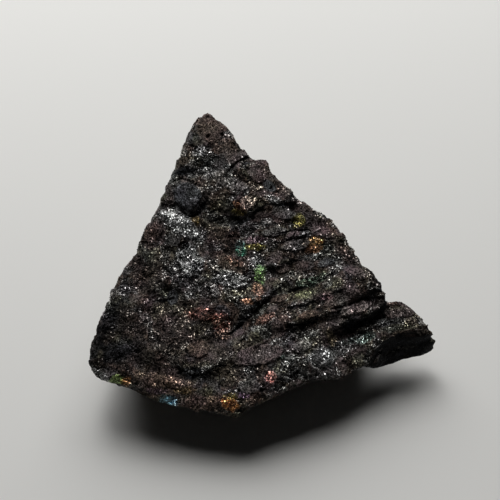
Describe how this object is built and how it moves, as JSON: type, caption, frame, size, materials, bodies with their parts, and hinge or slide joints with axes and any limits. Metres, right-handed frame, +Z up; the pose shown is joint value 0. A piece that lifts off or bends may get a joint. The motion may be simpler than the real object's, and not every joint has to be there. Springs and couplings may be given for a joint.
{
  "type": "goethite specimen",
  "caption": "Wedge-shaped chunk of dark goethite with a leaning broken face, a low side spur, stepped edges and rainbow-tarnished spots, resting on a small flat spot.",
  "frame": {"origin": "on the resting plane, under the middle of the stone's bounding box", "axes": "+X to the right along the stone's long side with the spur at the +X end, +Y to the back where the sharp top corner is, +Z up from the surface it rests on"},
  "size_m": [0.0896, 0.0832, 0.0314],
  "materials": {
    "goethite": "near-black brown-grey with a fine metallic glitter and small iridescent spots"
  },
  "bodies": {
    "root": {"goethite_stone": "goethite"}
  },
  "joints": []
}
